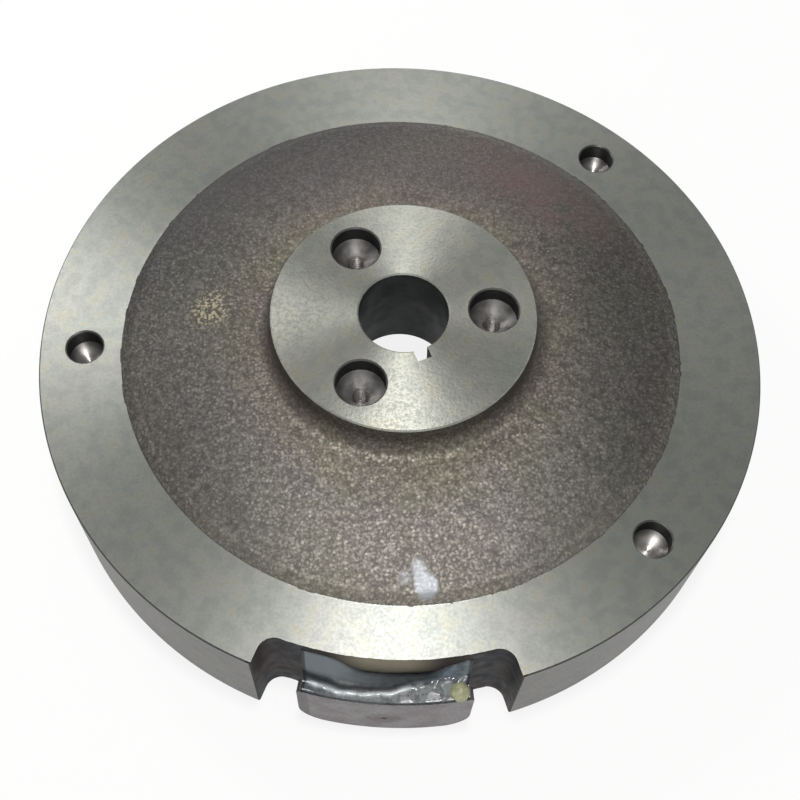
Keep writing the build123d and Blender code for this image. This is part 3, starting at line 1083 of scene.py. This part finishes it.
def keyway_cutter():
    """Block that cuts the keyway, parallel to the crank axis."""
    bm = bmesh.new()
    bmesh.ops.create_cube(bm, size=1.0)
    height = HUB_FACE - HUB_END + 2 * CUT_MARGIN
    turn = Matrix.Rotation(math.radians(KEYWAY_ANGLE), 4, "Z")
    shift = Matrix.Translation((KEYWAY_REACH / 2, 0.0, (HUB_FACE + HUB_END) / 2))
    scale = Matrix.Diagonal((KEYWAY_REACH, KEYWAY_WIDTH, height, 1.0))
    bmesh.ops.transform(bm, matrix=turn @ shift @ scale, verts=bm.verts)
    return new_piece("keyway_cutter", bm)


def notch_plan():
    """Points of the notch's plan, as (radius, angle from its middle), from one mouth to the other."""
    side_start = NOTCH_R + NOTCH_CORNER
    inner_angle = NOTCH_HALF_ANGLE - math.degrees(NOTCH_CORNER / side_start)
    half = [(NOTCH_R, inner_angle * index / NOTCH_BACK_STEPS) for index in range(NOTCH_BACK_STEPS + 1)]
    centre = polar(side_start, inner_angle, 0.0)
    for index in range(1, NOTCH_CORNER_STEPS + 1):
        point = centre + polar(NOTCH_CORNER, inner_angle + 180 - 90 * index / NOTCH_CORNER_STEPS, 0.0)
        half.append((math.hypot(point.x, point.y), math.degrees(math.atan2(point.y, point.x))))
    mouth_start = RIM_R - NOTCH_MOUTH
    for index in range(1, NOTCH_SIDE_STEPS + 1):
        reach = (mouth_start - NOTCH_R - NOTCH_CORNER) * index / NOTCH_SIDE_STEPS
        half.append((side_start + reach, NOTCH_HALF_ANGLE))
    for index in range(1, NOTCH_MOUTH_STEPS + 1):
        turn = math.radians(90 * index / NOTCH_MOUTH_STEPS)
        extra = math.degrees(NOTCH_MOUTH * (1 - math.cos(turn)) / RIM_R)
        half.append((mouth_start + NOTCH_MOUTH * math.sin(turn), NOTCH_HALF_ANGLE + extra))
    half.append((NOTCH_CUT_R, half[-1][1] + 0.5))
    mirrored = [(radius, -angle) for radius, angle in half[1:]]
    return list(reversed(mirrored)) + half


def notch_cutter():
    """Closed block in the notch's shape, with rough cast walls."""
    bm = bmesh.new()
    low, high = -CUT_MARGIN, RIM_FACE + CUT_MARGIN
    layers = []
    for row in range(NOTCH_ROWS + 1):
        layer = []
        for radius, angle in notch_plan():
            point = polar(radius, MAGNET_ANGLE + angle, low + (high - low) * row / NOTCH_ROWS)
            if radius < RIM_R - 2 * NOTCH_MOUTH:
                rough = noise.noise(point / NOTCH_GRAIN) + 0.8 * noise.noise(point / NOTCH_SWELL)
                point += (point.xy.normalized() * rough * NOTCH_ROUGHNESS).to_3d()
            layer.append(bm.verts.new(point))
        layers.append(layer)
    for lower, upper in zip(layers, layers[1:]):
        for index in range(len(lower)):
            after = (index + 1) % len(lower)
            bm.faces.new((lower[index], lower[after], upper[after], upper[index]))
    ends = [bm.faces.new(layers[0]), bm.faces.new(layers[-1])]
    bmesh.ops.triangulate(bm, faces=ends)
    return new_piece("notch_cutter", bm)


def casting_zone(centre, normal, sockets):
    """Which finish a face of the casting has: turned, hub, cast, drilled, bored or scale."""
    radius = math.hypot(centre.x, centre.y)
    away = abs((math.degrees(math.atan2(centre.y, centre.x)) - MAGNET_ANGLE + 180) % 360 - 180)
    level = abs(normal.z) > 0.999
    if radius > NOTCH_R - 0.6 * MM and away < NOTCH_HALF_ANGLE + 0.6 and not level:
        return "turned" if radius > RIM_R - 2 * TOUCH else "scale"
    if radius > RIM_R - 1.5 * RIM_BREAK:
        return "turned"
    if radius > BELL_MOUTH_R - 3 * MM and centre.z < RIM_FACE + TOUCH and (level or normal.z > 0.2):
        if centre.z > RIM_FACE - 5 * TOUCH or centre.z < 5 * TOUCH:
            return "turned"
    if radius > BELL_MOUTH_R + 1.0 * MM:
        return "drilled"
    if radius < KEYWAY_REACH + 0.5 * MM and abs(normal.z) < 0.5:
        return "bored"
    if radius < HUB_R + 0.1 * MM:
        if centre.z > HUB_FACE - TOUCH or centre.z < HUB_END + TOUCH:
            return "hub"
        socket = nearest(sockets, centre)
        if math.hypot(centre.x - socket.x, centre.y - socket.y) < SOCKET_R + FINE_BREAK:
            return "drilled"
        if centre.z > HUB_FACE - FINE_BREAK - 2 * TOUCH or radius < BOSS_R - 0.5 * MM:
            return "hub"
    return "cast"


def nearest(places, point):
    """Which of a list of places is nearest to a point in plan."""
    return min(places, key=lambda place: math.hypot(point.x - place.x, point.y - place.y))


class FLYWHEEL_OT_casting(bpy.types.Operator):
    """Turn, roughen and drill the casting"""

    bl_idname = "flywheel.casting"
    bl_label = "Casting"

    def execute(self, context):
        size, tint = sizes(), colours()
        finishes = {
            "turned": turned_finish("turned_iron", tint.turned, roughness=0.45, stretch=0.73, mottling=1.0),
            "hub": turned_finish("faced_hub", tint.hub, roughness=0.435, stretch=0.71, mottling=2.4),
            "cast": cast_finish("sand_cast_iron", tint.cast, tint.cast_spark, tint.rust),
            "drilled": drilled_finish("drilled_iron", tint.drilled),
            "bored": bore_finish("oiled_bore"),
            "scale": scale_finish("casting_scale", tint.scale),
        }
        outline = outline_object(casting_outline())
        add_modifier(
            outline, turning_tree(), Segments=size.turning_segments, Rim_Radius=RIM_R, Seat_Height=RIM_FACE,
            Grain_Height=size.grain_height, Grain_Size=size.grain_size,
            Swell_Height=size.swell_height, Swell_Size=size.swell_size, Material=finishes["turned"],
        )
        circle_r = SOCKETS["pcd_mm"] / 2 * MM
        step = 360 / SOCKETS["count"]
        socket_places = [polar(circle_r, index * step, HUB_FACE) for index in range(SOCKETS["count"])]
        peg_places = [polar(PEG_CIRCLE_R, angle, RIM_FACE) for angle in PEG_ANGLES]
        balance_places = [polar(BALANCE_CIRCLE_R, angle, 0.0) for angle in BALANCE_ANGLES]
        upside_down = [(radius, -height) for radius, height in drill_outline(BALANCE_R, BALANCE_DEPTH, 0.0)]
        cuts = (
            (socket_places, socket_drill()),
            (peg_places, turned_mesh("peg_drill", drill_outline(PEG_R, PEG_DEPTH, FINE_BREAK), DRILL_FACETS)),
            (balance_places, turned_mesh("balance_drill", upside_down, BALANCE_FACETS)),
            ([Vector()], keyway_cutter()),
            ([Vector()], notch_cutter()),
        )
        drilling = drilling_tree()
        helpers = []
        for places, drill in cuts:
            spots = places_object(drill.name + "_places", places)
            add_modifier(outline, drilling, Places=spots, Drill=drill, Material=finishes["drilled"])
            helpers += [spots, drill]
        casting = made_real(outline, "iron_casting", helpers)

        order = list(finishes)
        casting.data.materials.clear()
        for finish in finishes.values():
            casting.data.materials.append(finish)
        bm = bmesh.new()
        bm.from_mesh(casting.data)
        bmesh.ops.remove_doubles(bm, verts=bm.verts, dist=MERGE_DISTANCE)
        bmesh.ops.recalc_face_normals(bm, faces=bm.faces)
        centres = bm.faces.layers.float_vector.new("hole_centre")
        holes = socket_places + peg_places + balance_places
        for face in bm.faces:
            middle = face.calc_center_median()
            face.material_index = order.index(casting_zone(middle, face.normal, socket_places))
            face[centres] = nearest(holes, middle)
        bm.to_mesh(casting.data)
        bm.free()
        shade_by_angle(casting.data)
        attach(casting, BODY)
        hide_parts("flywheel_casting")
        return {"FINISHED"}


# The magnet group: angles are counted from the magnet's middle


def corner_lift(along, half, radius):
    """How far a round corner lifts the edge of the plate, at a place along it."""
    inside = max(0.0, abs(along) - (half - radius))
    return radius - math.sqrt(max(0.0, radius**2 - inside**2))


def shoe_plate():
    """Curved plate with round lower corners and a fine bevel round its outer face."""
    grids = []
    for radius, inset in ((RIM_R, sizes().edge_break), (SHOE_INNER_R, 0.0)):
        half = SHOE_HALF - inset
        line = []
        for column in range(SHOE_COLUMNS + 1):
            share = 2 * column / SHOE_COLUMNS - 1
            # Columns stand closer together towards the ends, where the corners are
            along = half * share * 0.6 + half * math.sin(math.pi / 2 * share) * 0.4
            low = SHOE_BOTTOM + inset + corner_lift(along, half, SHOE_LOWER_R - inset)
            high = SHOE_TOP - inset - corner_lift(along, half, SHOE_UPPER_R - inset)
            line.append((MAGNET_ANGLE + math.degrees(along / RIM_R), low, high))
        grids.append([
            [polar(radius, angle, low + (high - low) * row / SHOE_ROWS) for angle, low, high in line]
            for row in range(SHOE_ROWS + 1)
        ])
    return shell_from_grids("pole_shoe_plate", *grids)


def along_magnet(piece):
    """Turns a mesh that points up +Z so that it points out of the rim at the shoe screw's height."""
    tilt = Matrix.Rotation(math.radians(90), 4, "Y")
    turn = Matrix.Rotation(math.radians(MAGNET_ANGLE), 4, "Z")
    piece.data.transform(Matrix.Translation((0, 0, SCREW_HEIGHT)) @ turn @ tilt)
    return piece


def screw_outline(gap, head_rise):
    """(radius, distance from the crank axis) points of the screw."""
    head_start = RIM_R - (SCREW_HEAD_R - SCREW_SHANK_R)
    return [
        (0.0, SCREW_END_R),
        (SCREW_SHANK_R + gap, SCREW_END_R),
        (SCREW_SHANK_R + gap, head_start),
        (SCREW_HEAD_R + gap + head_rise, RIM_R + head_rise),
    ]


class FLYWHEEL_OT_pole_shoe(bpy.types.Operator):
    """Form the pole shoe and the screw that is turned flush with it"""

    bl_idname = "flywheel.pole_shoe"
    bl_label = "Pole Shoe"

    def execute(self, context):
        steel = shoe_finish("shoe_steel", colours().shoe)
        plate = shoe_plate()
        seat = screw_outline(SCREW_GAP, CUT_MARGIN) + [(0.0, RIM_R + CUT_MARGIN)]
        cutter = along_magnet(turned_mesh("screw_seat_drill", seat, SCREW_FACETS))
        spot = places_object("screw_place", [Vector()])
        add_modifier(plate, drilling_tree(), Places=spot, Drill=cutter, Material=steel)
        shoe = made_real(plate, "turned_pole_shoe", [cutter, spot])
        shade_by_angle(shoe.data)
        shoe.data.materials.clear()
        shoe.data.materials.append(steel)
        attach(shoe, BODY)
        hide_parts("pole_shoe")

        rings = [(SCREW_HEAD_R * share, RIM_R) for share in (0.85, 0.6, 0.35)]
        punch = [(PUNCH_R, RIM_R), (0.0, RIM_R - PUNCH_DEPTH)]
        head = screw_outline(0.0, 0.0) + rings + punch
        screw = along_magnet(turned_mesh("flush_shoe_screw", head, SCREW_FACETS))
        for vertex in screw.data.vertices:
            reach = math.hypot(vertex.co.x, vertex.co.y)
            if reach > RIM_R - SCREW_FACE_BAND:
                vertex.co.x *= RIM_R / reach
                vertex.co.y *= RIM_R / reach
        screw.data.materials.append(shoe_finish("screw_steel", scaled(colours().shoe, 0.82)))
        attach(screw, BODY)
        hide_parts("shoe_screw")
        return {"FINISHED"}


def level_between(stops, value):
    """Value read off a line through (place, level) stops, with smooth steps from one to the next."""
    if value <= stops[0][0]:
        return stops[0][1]
    for (low, first), (high, second) in zip(stops, stops[1:]):
        if value <= high:
            return first + (second - first) * ease(low, high, value)
    return stops[-1][1]


def potting_half_angle(radius):
    """Half the angle that the compound takes up round the rim, in degrees."""
    share = min(1.0, (radius - NOTCH_R) / (SHOE_INNER_R - NOTCH_R))
    half = POTTING_BACK_HALF + (POTTING_FRONT_HALF - POTTING_BACK_HALF) * share
    return math.degrees(half / min(radius, SHOE_INNER_R))


def potting_profile(share, radius):
    """Height of the compound's top before it sags smooth, a share of the way from its middle to an end."""
    along = share * POTTING_FRONT_HALF
    wander = 0.5 * noise.noise(Vector((along / (4 * MM), 3.1, 0.0)))
    crest_r = (level_between(CREST_STOPS, share) + wander) * MM
    ripple = 1.0 + 0.4 * noise.noise(Vector((along / (3.4 * MM), 8.2, 0.0)))
    crest = SHOE_TOP + sizes().ridge_height * ripple
    if radius > crest_r:
        flank = min(radius - crest_r, FLANK_REACH)
        return crest - 0.3 * flank - level_between(APRON_STOPS, share) * (radius - crest_r - flank)
    valley_r = crest_r - VALLEY_REACH
    valley = level_between(VALLEY_STOPS, share) * MM
    if radius > valley_r:
        return valley + (crest - valley) * ease(valley_r, crest_r, radius)
    left, right = 1 - ease(-0.72, -0.2, share), ease(0.40, 0.95, share)
    back = (BACK_HEIGHT + LEFT_CLIMB * left + RIGHT_CLIMB * right) * MM
    fall = (radius - NOTCH_R) / (valley_r - NOTCH_R)
    height = back + (valley - back) * (0.6 * fall + 0.4 * ease(0.0, 1.0, fall))
    return height + 0.35 * MM * hump(radius - NOTCH_R, 0.8 * MM)


def potting_height(share, radius):
    """Height of the compound's top, smoothed and lumpy towards its silver end."""
    heights = [potting_profile(share, max(NOTCH_R, radius + step * MM)) for step in SAG_STEPS]
    height = sum(heights) / len(heights)
    spot = Vector((share * POTTING_FRONT_HALF, radius, 0.0))
    height += 0.36 * MM * ease(0.0, 0.5, share) * noise.noise(spot / (1.7 * MM))
    height += 0.10 * MM * noise.noise(spot / (4.0 * MM))
    return height


def potting_block():
    """Block of compound behind the shoe, whose top laps over the shoe's top edge."""
    radii = [NOTCH_R + (SHOE_INNER_R - NOTCH_R) * index / POTTING_ROWS for index in range(POTTING_ROWS)]
    lap = POTTING_LIP_R - SHOE_INNER_R
    radii += [SHOE_INNER_R + lap * index / POTTING_LIP_ROWS for index in range(POTTING_LIP_ROWS + 1)]
    top, bottom = [], []
    for radius in radii:
        upper, lower = [], []
        for column in range(POTTING_COLUMNS + 1):
            share = 2 * column / POTTING_COLUMNS - 1
            height = potting_height(share, radius)
            floor = POTTING_BOTTOM
            if radius >= SHOE_INNER_R:
                floor = SHOE_TOP - LIP_BEDDING
                height = max(height, SHOE_TOP + LIP_THICKNESS)
                fade = ease(POTTING_LIP_R + LIP_TAPER[0], POTTING_LIP_R + LIP_TAPER[1], radius)
                height = height * (1 - fade) + (SHOE_TOP + LIP_BEDDING) * fade
            angle = MAGNET_ANGLE + share * potting_half_angle(radius)
            upper.append(polar(radius, angle, height))
            lower.append(polar(radius, angle, floor))
        top.append(upper)
        bottom.append(lower)
    return shell_from_grids("potting_block", top, bottom)


def mark_potting(mesh):
    """Attributes for the compound's finish: share of the way to an end, and nearness to valley and crest,
    which carry its painted shade and painted highlight.
    """
    marks = {"share": [], "valley": [], "crest": []}
    for vertex in mesh.vertices:
        radius = math.hypot(vertex.co.x, vertex.co.y)
        angle = math.degrees(math.atan2(vertex.co.y, vertex.co.x)) - MAGNET_ANGLE
        share = angle / potting_half_angle(radius)
        beyond = (radius - level_between(CREST_STOPS, share) * MM) / MM
        valley = hump(beyond + 1.75, 0.8) * (1 - ease(0.1, 0.4, share))
        crest = hump(beyond + 0.1, 0.55) * ease(-0.97, -0.85, share)
        marks["share"].append(share)
        marks["valley"].append(valley)
        marks["crest"].append(crest * (1 - ease(0.1, 0.45, share)))
    for name, values in marks.items():
        mesh.attributes.new(name, "FLOAT", "POINT").data.foreach_set("value", values)


def bead_drop():
    """Lumpy drop of compound, bedded on the shoe's top edge."""
    bm = bmesh.new()
    bmesh.ops.create_icosphere(bm, subdivisions=4, radius=1.0)
    centre = polar(RIM_R - BEAD_INSET, MAGNET_ANGLE + BEAD_ANGLE, SHOE_TOP)
    for vertex in bm.verts:
        point = vertex.co
        lump = 1 + 0.07 * noise.noise(point * 1.7 + Vector((4.0, 1.0, 2.0)))
        vertex.co = centre + Vector((
            point.x * BEAD_R * 0.97 * lump,
            point.y * BEAD_R * 0.97 * lump,
            max(point.z, -0.08) * BEAD_HEIGHT * lump,
        ))
    return new_piece("cream_bead", bm)


class FLYWHEEL_OT_potting(bpy.types.Operator):
    """Pour the compound round the magnet and set the marker bead"""

    bl_idname = "flywheel.potting"
    bl_label = "Potting"

    def execute(self, context):
        tint = colours()
        potting = potting_block()
        mark_potting(potting.data)
        potting.data.materials.append(compound_finish("potting_compound", tint.compound, tint.compound_dust))
        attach(potting, BODY)
        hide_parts("magnet_potting")
        bead = bead_drop()
        bead.data.materials.append(bead_finish("bead_compound", tint.bead))
        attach(bead, BODY)
        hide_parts("marker_bead")
        return {"FINISHED"}


class FLYWHEEL_OT_magnet(bpy.types.Operator):
    """Finish the ignition magnet"""

    bl_idname = "flywheel.magnet"
    bl_label = "Ignition Magnet"

    def execute(self, context):
        magnet = frame["nodes"]["ignition_magnet"]
        magnet.data.materials.clear()
        magnet.data.materials.append(ferrite_finish("ferrite", colours().ferrite))
        return {"FINISHED"}


# The stage


def camera_matrix():
    """Camera place and turn: it looks at the middle of the rim's face, then turns a little on each axis."""
    rise = math.radians(CAMERA_ELEVATION)
    back = Vector((0, -math.cos(rise), math.sin(rise)))
    right = Vector((1, 0, 0))
    axes = Matrix((right, back.cross(right), back))
    for angle, axis in ((CAMERA_YAW, "Y"), (CAMERA_PITCH, "X"), (CAMERA_ROLL, "Z")):
        axes = Matrix.Rotation(math.radians(angle), 3, axis) @ axes
    turned = axes.transposed().to_4x4()
    turned.translation = back * CAMERA_DISTANCE
    about = Matrix.Translation((0, 0, RIM_FACE)) @ Matrix.Rotation(math.radians(CAMERA_AZIMUTH), 4, "Z")
    return about @ turned


def add_lamp(name, azimuth, elevation, distance, width, power, tint):
    """Soft round lamp at an angle to the flywheel, aimed at its middle."""
    data = bpy.data.lights.new(name, "AREA")
    data.shape = "DISK"
    data.size = width
    data.energy = power
    data.color = tint
    rise = math.radians(elevation)
    flat = polar(distance * math.cos(rise), azimuth, distance * math.sin(rise))
    lamp = new_object(name, data)
    lamp.location = flat + Vector((0, 0, RIM_FACE))
    lamp.rotation_euler = (-flat).to_track_quat("-Z", "Y").to_euler()


def floor_finish():
    """White floor that still takes the object's shadow."""
    material, shader, place = new_material("pale_floor")
    tint = colours().floor
    grain = spread(noise_of(place, 60 * MM), 0.3, 0.7)
    fill(shader, {"Base Color": mix_colours(grain, scaled(tint, 0.99), tint), "Roughness": 0.9})
    tree = material.node_tree
    glow = add_node(tree, "ShaderNodeEmission", {"Color": WHITE, "Strength": 1.0}).outputs[0]
    path = add_node(tree, "ShaderNodeLightPath").outputs
    seen = maths("MAXIMUM", path["Is Camera Ray"], path["Is Glossy Ray"])
    seen = maths("MAXIMUM", seen, path["Is Transmission Ray"])
    blend = next_node("ShaderNodeMixShader", {
        0: times(seen, 0.85), 1: shader.outputs[0], 2: glow,
    }).outputs[0]
    fill(tree.nodes["Material Output"], {"Surface": blend})
    return material


def studio_world():
    """Plain bright surroundings that dim towards the ceiling."""
    world = bpy.data.worlds.new("studio")
    world.use_nodes = True
    tree = world.node_tree
    rise = parts_of(add_node(tree, "ShaderNodeTexCoord").outputs["Generated"])["Z"]
    fill(tree.nodes["Background"], {
        "Color": SKY_COLOUR,
        "Strength": spread(rise, HORIZON_TOP, CEILING_BOTTOM, 1.0, CEILING_STRENGTH),
    })
    return world


class FLYWHEEL_OT_stage(bpy.types.Operator):
    """Set the floor, the lamps and the camera"""

    bl_idname = "flywheel.stage"
    bl_label = "Stage"

    def execute(self, context):
        scene = context.scene
        bm = bmesh.new()
        bmesh.ops.create_grid(bm, x_segments=1, y_segments=1, size=FLOOR_HALF)
        bmesh.ops.translate(bm, verts=bm.verts, vec=(0, 0, -FLOOR_DROP))
        floor = new_piece("floor", bm)
        floor.data.materials.append(floor_finish())
        scene.world = studio_world()
        for lamp in LAMPS:
            add_lamp(*lamp)

        data = bpy.data.cameras.new("camera")
        data.sensor_fit = "HORIZONTAL"
        data.sensor_width = SENSOR_WIDTH
        data.lens = FOCAL_PIXELS * SENSOR_WIDTH / FRAME_PIXELS
        data.clip_start = 0.01
        camera = new_object("camera", data)
        camera.matrix_world = camera_matrix()
        scene.camera = camera
        scene.view_settings.view_transform = "Standard"
        return {"FINISHED"}


class FLYWHEEL_PT_panel(bpy.types.Panel):
    """Flywheel builder"""

    bl_idname = "FLYWHEEL_PT_panel"
    bl_label = "Magneto Flywheel"
    bl_space_type = "VIEW_3D"
    bl_region_type = "UI"
    bl_category = "Flywheel"

    def draw(self, context):
        for group in (sizes(), colours()):
            column = self.layout.column()
            for name in group.__annotations__:
                column.prop(group, name)
        for operator in OPERATORS:
            self.layout.operator(operator.bl_idname)


OPERATORS = (
    FLYWHEEL_OT_stage,
    FLYWHEEL_OT_casting,
    FLYWHEEL_OT_pole_shoe,
    FLYWHEEL_OT_potting,
    FLYWHEEL_OT_magnet,
)
CLASSES = (FlywheelSizes, FlywheelColours, *OPERATORS, FLYWHEEL_PT_panel)


def register():
    for item in CLASSES:
        bpy.utils.register_class(item)
    bpy.types.Scene.flywheel_sizes = PointerProperty(type=FlywheelSizes)
    bpy.types.Scene.flywheel_colours = PointerProperty(type=FlywheelColours)


def unregister():
    del bpy.types.Scene.flywheel_colours
    del bpy.types.Scene.flywheel_sizes
    for item in reversed(CLASSES):
        bpy.utils.unregister_class(item)


def main():
    """Builds the flywheel and its stage."""
    register()
    for operator in OPERATORS:
        group, name = operator.bl_idname.split(".")
        getattr(getattr(bpy.ops, group), name)()


if __name__ == "__main__":
    main()
